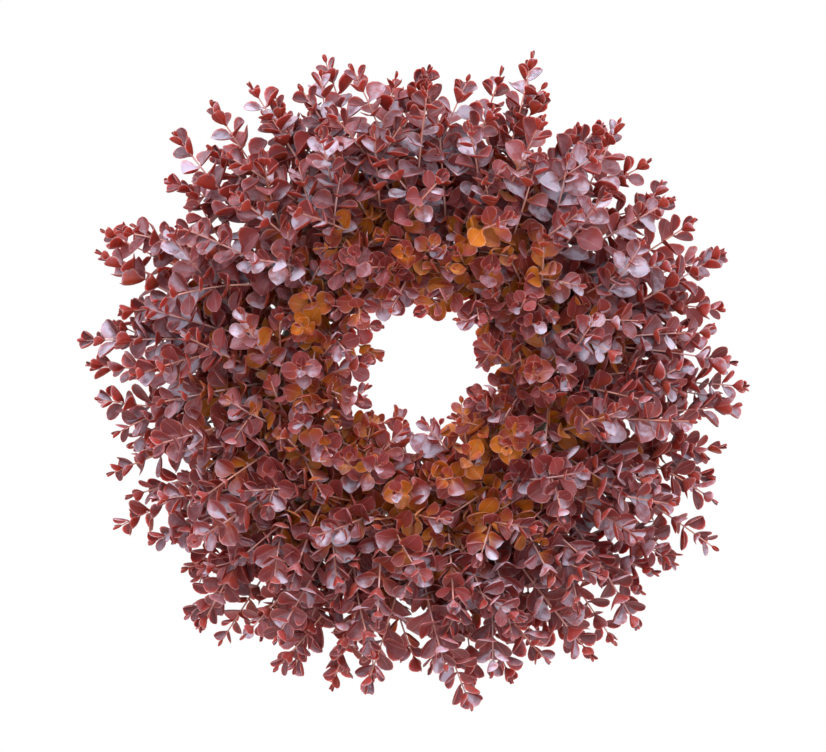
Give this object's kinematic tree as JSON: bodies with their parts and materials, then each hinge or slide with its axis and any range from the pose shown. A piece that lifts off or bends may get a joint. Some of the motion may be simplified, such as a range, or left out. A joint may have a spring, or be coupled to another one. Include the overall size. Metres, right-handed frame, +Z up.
{
  "type": "door wreath",
  "caption": "Round artificial-eucalyptus door wreath: leafy plastic sprays plugged into a half-round base ring with a wire hanger that folds on the back.",
  "frame": {"origin": "where the wire hanger bears on its hook, in the plane of the door's face", "axes": "+Z up as it hangs, front towards -Y, +Y into the door, +X to the right seen from the front"},
  "size_m": [0.5627, 0.1298, 0.5476],
  "materials": {
    "ring_green": "dark green moulded plastic, satin",
    "cover_green": "dark green plastic, matte",
    "hanger_steel": "bright drawn wire",
    "outer_foliage": "burgundy soft plastic leaves with a pale frosted bloom",
    "middle_foliage": "burgundy soft plastic leaves with a pale frosted bloom",
    "front_foliage": "mauve-red soft plastic leaves with a pale frosted bloom",
    "inner_foliage": "rust and amber soft plastic leaves"
  },
  "bodies": {
    "wreath": {"base_ring": "ring_green", "back_cover": "cover_green", "outer_spray_01": "outer_foliage", "outer_spray_02": "outer_foliage", "outer_spray_03": "outer_foliage", "outer_spray_04": "outer_foliage", "outer_spray_05": "outer_foliage", "outer_spray_06": "outer_foliage", "outer_spray_07": "outer_foliage", "outer_spray_08": "outer_foliage", "outer_spray_09": "outer_foliage", "outer_spray_10": "outer_foliage", "outer_spray_11": "outer_foliage", "outer_spray_12": "outer_foliage", "outer_spray_13": "outer_foliage", "outer_spray_14": "outer_foliage", "middle_spray_01": "middle_foliage", "middle_spray_02": "middle_foliage", "middle_spray_03": "middle_foliage", "middle_spray_04": "middle_foliage", "middle_spray_05": "middle_foliage", "middle_spray_06": "middle_foliage", "middle_spray_07": "middle_foliage", "middle_spray_08": "middle_foliage", "middle_spray_09": "middle_foliage", "middle_spray_10": "middle_foliage", "middle_spray_11": "middle_foliage", "middle_spray_12": "middle_foliage", "middle_spray_13": "middle_foliage", "middle_spray_14": "middle_foliage", "front_spray_01": "front_foliage", "front_spray_02": "front_foliage", "front_spray_03": "front_foliage", "front_spray_04": "front_foliage", "front_spray_05": "front_foliage", "front_spray_06": "front_foliage", "front_spray_07": "front_foliage", "front_spray_08": "front_foliage", "front_spray_09": "front_foliage", "front_spray_10": "front_foliage", "front_spray_11": "front_foliage", "front_spray_12": "front_foliage", "front_spray_13": "front_foliage", "front_spray_14": "front_foliage", "inner_spray_01": "inner_foliage", "inner_spray_02": "inner_foliage", "inner_spray_03": "inner_foliage", "inner_spray_04": "inner_foliage", "inner_spray_05": "inner_foliage", "inner_spray_06": "inner_foliage", "inner_spray_07": "inner_foliage", "inner_spray_08": "inner_foliage", "inner_spray_09": "inner_foliage", "inner_spray_10": "inner_foliage", "inner_spray_11": "inner_foliage", "inner_spray_12": "inner_foliage"},
    "hanger": {"wire_hanger": "hanger_steel"}
  },
  "joints": [
    {"name": "hanger_hinge", "type": "hinge", "parent": "wreath", "child": "hanger", "pos_m": [0, -0.0035, -0.034], "axis": [-1, 0, 0], "range_deg": [0, 110]}
  ]
}
